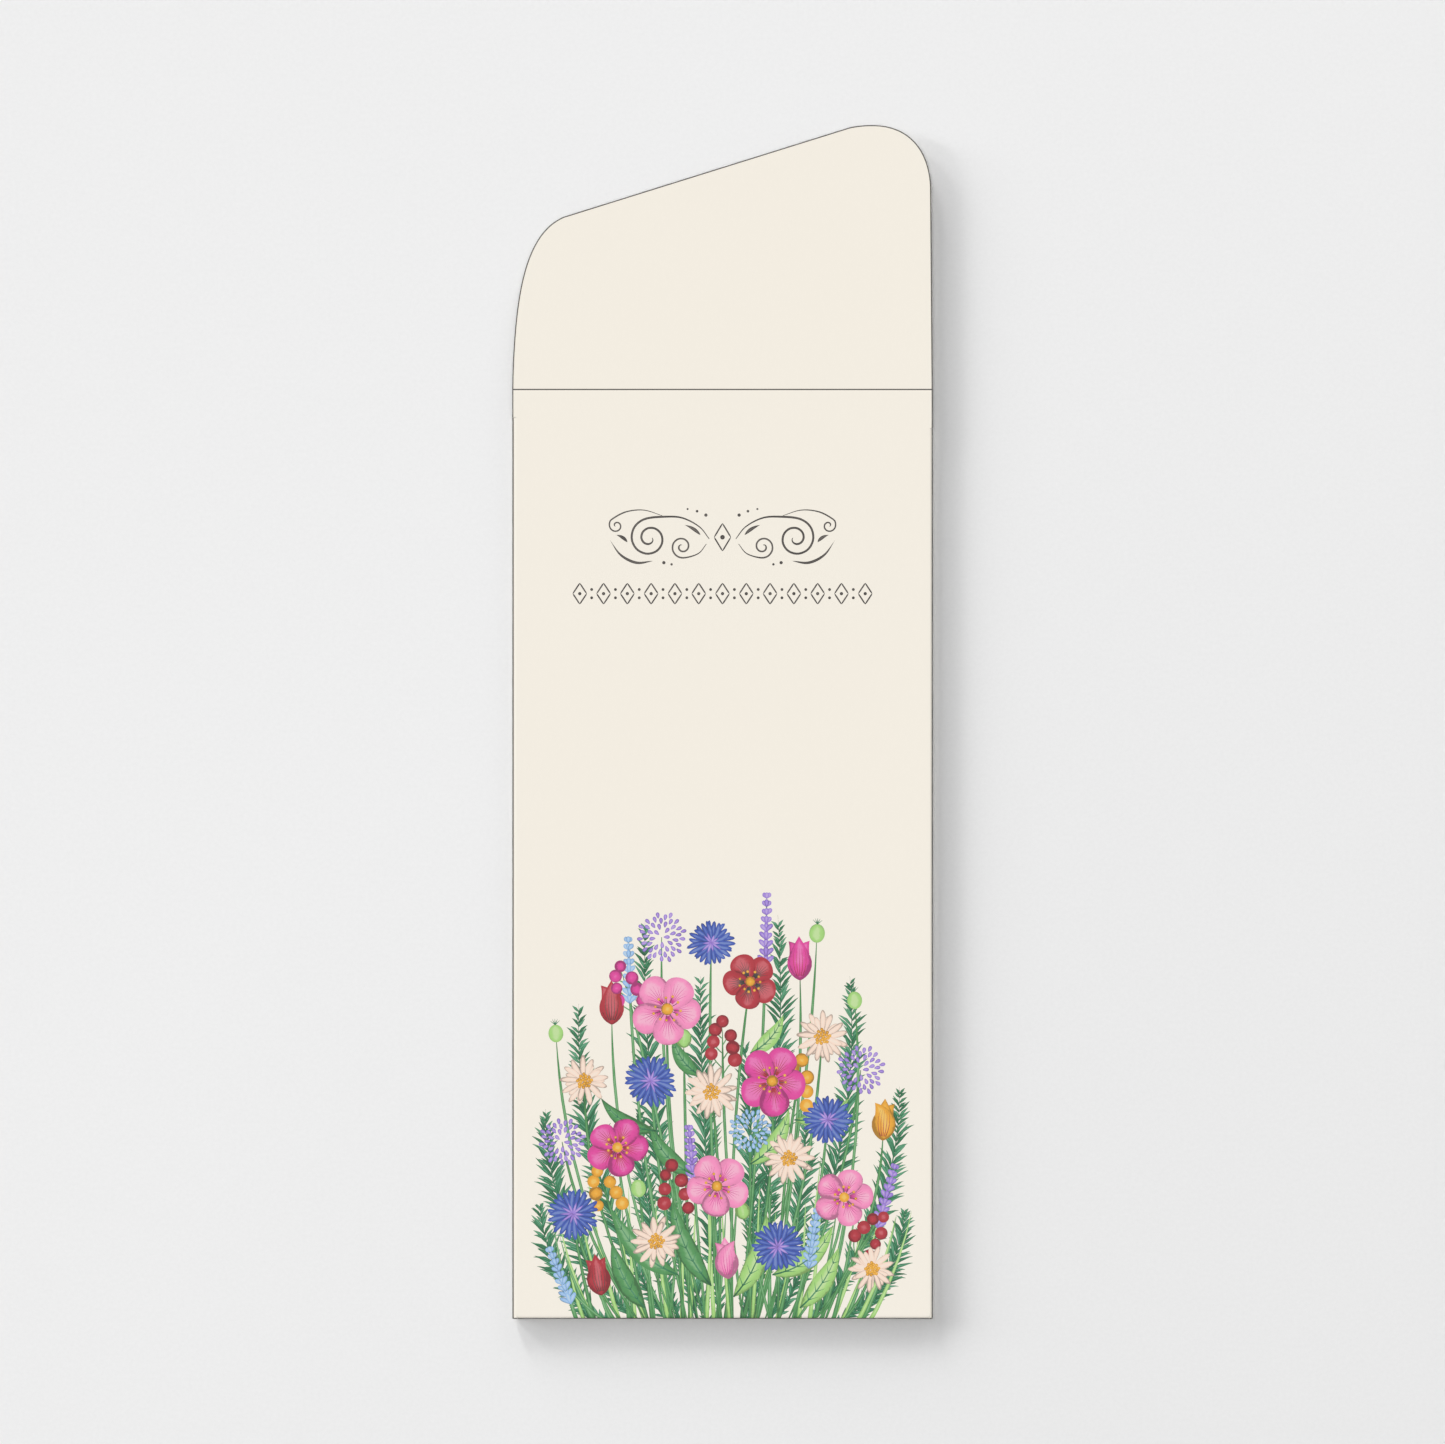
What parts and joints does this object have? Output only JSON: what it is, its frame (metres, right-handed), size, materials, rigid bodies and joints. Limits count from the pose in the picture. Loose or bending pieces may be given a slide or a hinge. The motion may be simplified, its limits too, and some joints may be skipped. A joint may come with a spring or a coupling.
{
  "type": "money holder",
  "caption": "Slim folded card pocket for banknotes, open at one end, with a slanted round-cornered closure flap that folds over its back.",
  "frame": {"origin": "under the middle of the opened holder's bounding box, on the plane that the back panel lies on", "axes": "+X to the right of the printed face, +Y along the holder towards the flap, +Z out of the printed face"},
  "size_m": [0.076, 0.2158, 0.0017],
  "materials": {
    "printed_card": "uncoated cream card",
    "folded_card": "uncoated cream card",
    "dry_glue": "dry clear glue",
    "flap_gum": "dry gum"
  },
  "bodies": {
    "pocket": {"front_panel": "printed_card", "flap_crease": "printed_card", "left_fold": "folded_card", "right_fold": "folded_card", "bottom_fold": "folded_card", "back_panel": "folded_card", "side_tab": "folded_card", "bottom_tab": "folded_card", "side_glue_line": "dry_glue", "bottom_glue_line": "dry_glue"},
    "flap": {"closure_flap": "printed_card", "flap_gum": "flap_gum"}
  },
  "joints": [
    {"name": "flap_hinge", "type": "hinge", "parent": "pocket", "child": "flap", "pos_m": [0, 0.0601, 0.0006], "axis": [-1, 0, 0], "range_deg": [0, 179.5], "deforming": ["flap_crease"]}
  ]
}
